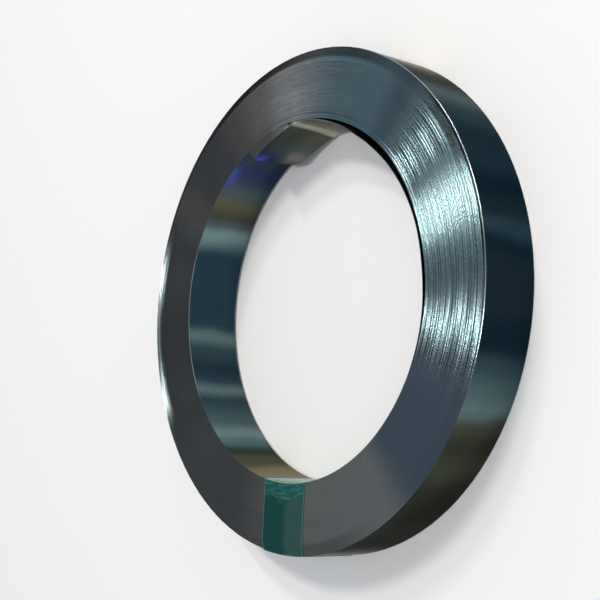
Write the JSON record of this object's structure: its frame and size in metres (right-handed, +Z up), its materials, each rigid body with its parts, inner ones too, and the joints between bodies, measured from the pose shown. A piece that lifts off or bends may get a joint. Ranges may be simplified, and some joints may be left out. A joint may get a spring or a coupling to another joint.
{
  "type": "roll of nickel-plated steel strip",
  "caption": "Narrow bright nickel-plated steel strip wound into a flat ring-shaped roll with an open bore, held shut by a band of green film tape.",
  "frame": {"origin": "on the axis of the bore, in the plane that the roll lies on", "axes": "+Z up along the axis of the bore; the band of tape crosses the winding at -Y"},
  "size_m": [0.065, 0.0651, 0.0085],
  "materials": {
    "nickel_strip": "polished",
    "film_tape": "gloss"
  },
  "bodies": {
    "root": {"strip_coil": "nickel_strip", "tape_band": "film_tape"}
  },
  "joints": []
}
